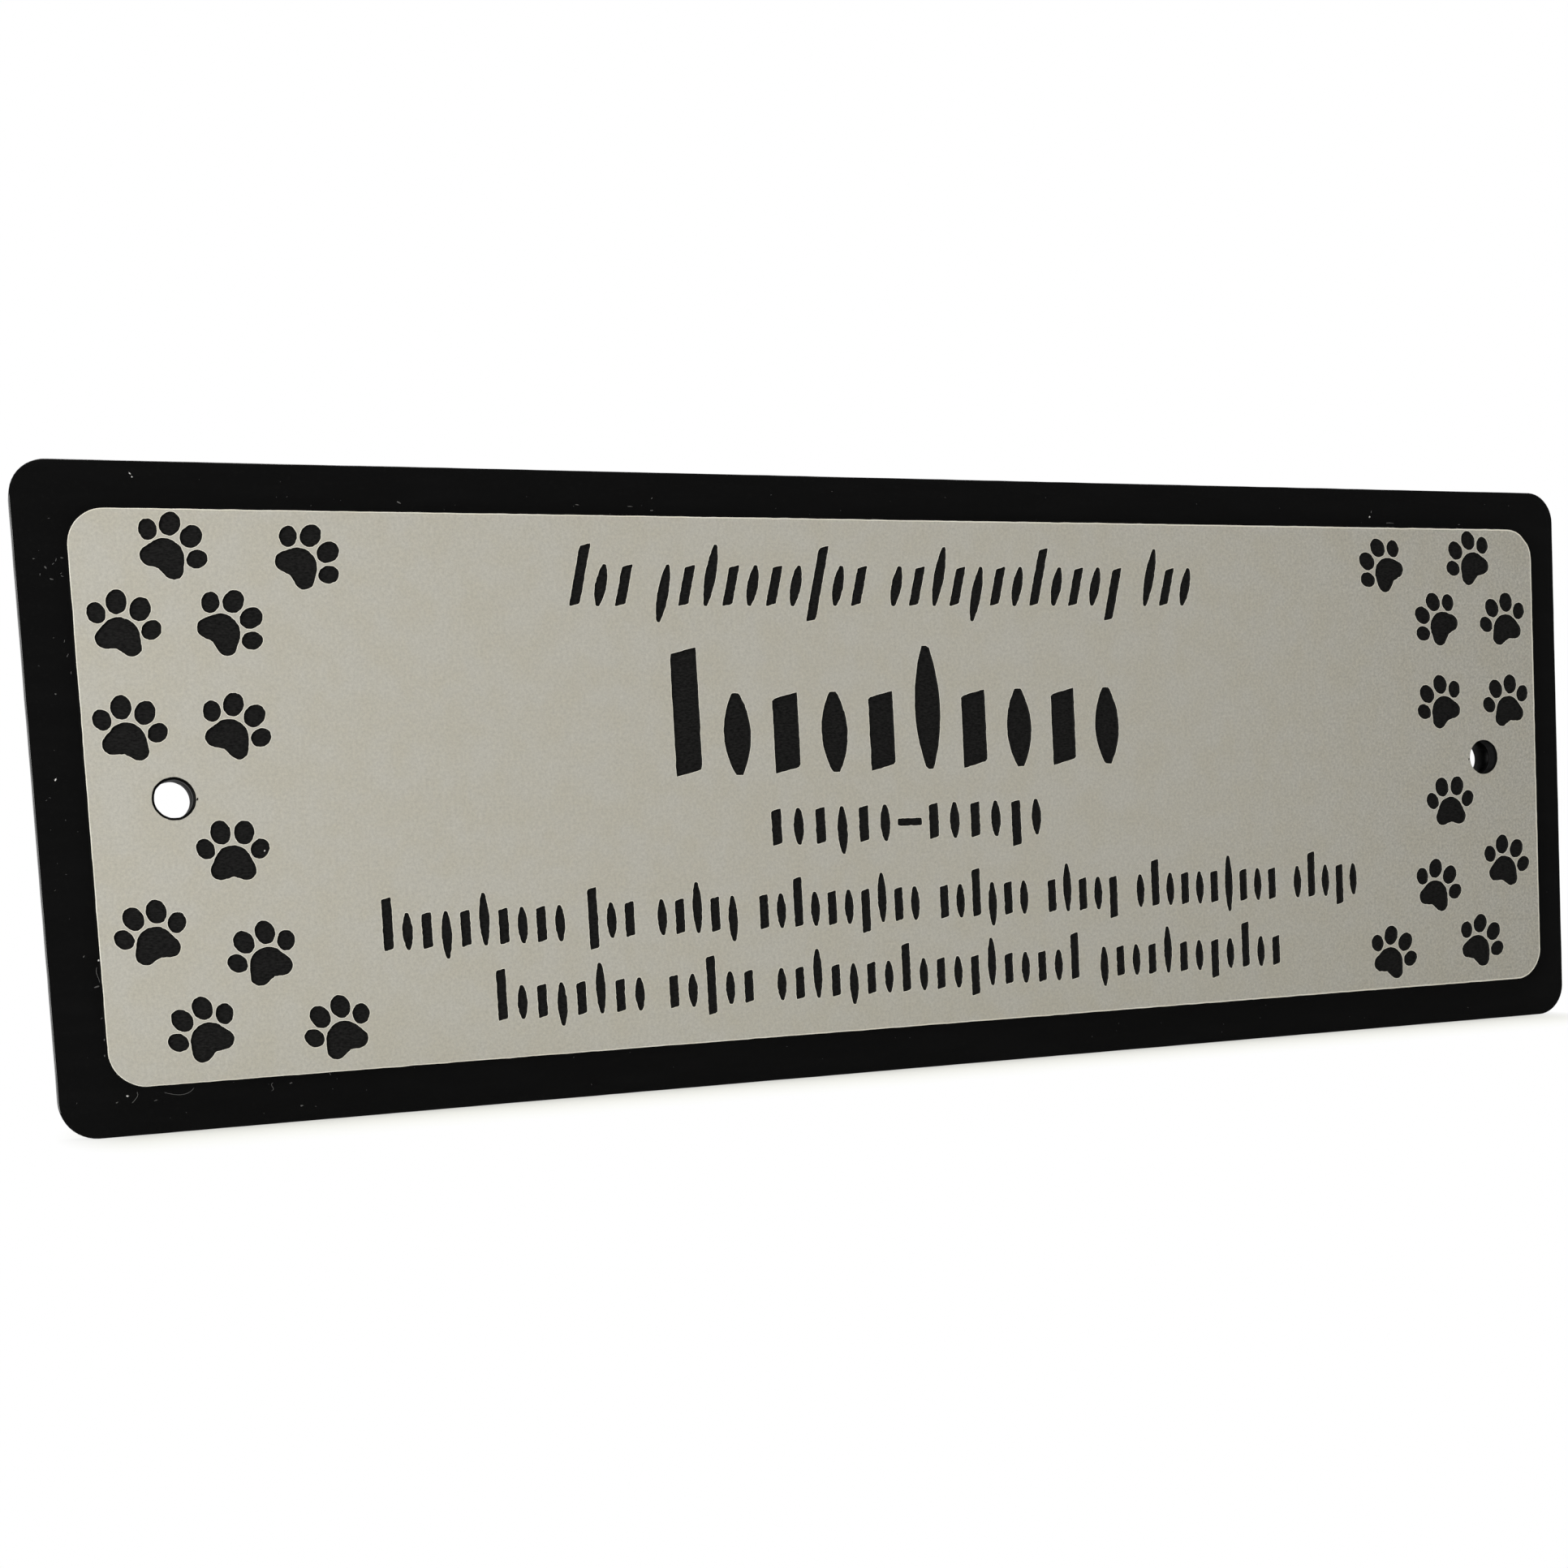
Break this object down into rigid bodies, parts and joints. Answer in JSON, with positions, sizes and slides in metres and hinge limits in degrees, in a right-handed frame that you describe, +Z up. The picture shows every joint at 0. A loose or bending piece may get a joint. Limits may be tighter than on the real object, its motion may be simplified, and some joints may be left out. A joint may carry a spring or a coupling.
{
  "type": "commemorative plaque",
  "caption": "Rectangular two-layer plaque, a satin silver plate bonded on a black gloss board, engraved with paw prints and rows of strokes, with a screw hole near each end.",
  "frame": {"origin": "centre of the board's back face, which lies on the wall, midway between the two screw holes", "axes": "+X along the length to the viewer's right, +Z up, +Y into the wall, so the engraved face looks along -Y"},
  "size_m": [0.2, 0.0048, 0.0716],
  "materials": {
    "black_acrylic": "black cast acrylic sheet, high gloss, laser-cut edge",
    "silver_laminate": "two-ply engraving laminate, satin silver skin on a black core that shows in the engraving"
  },
  "bodies": {
    "root": {"backing_board": "black_acrylic", "face_plate": "silver_laminate"}
  },
  "joints": []
}
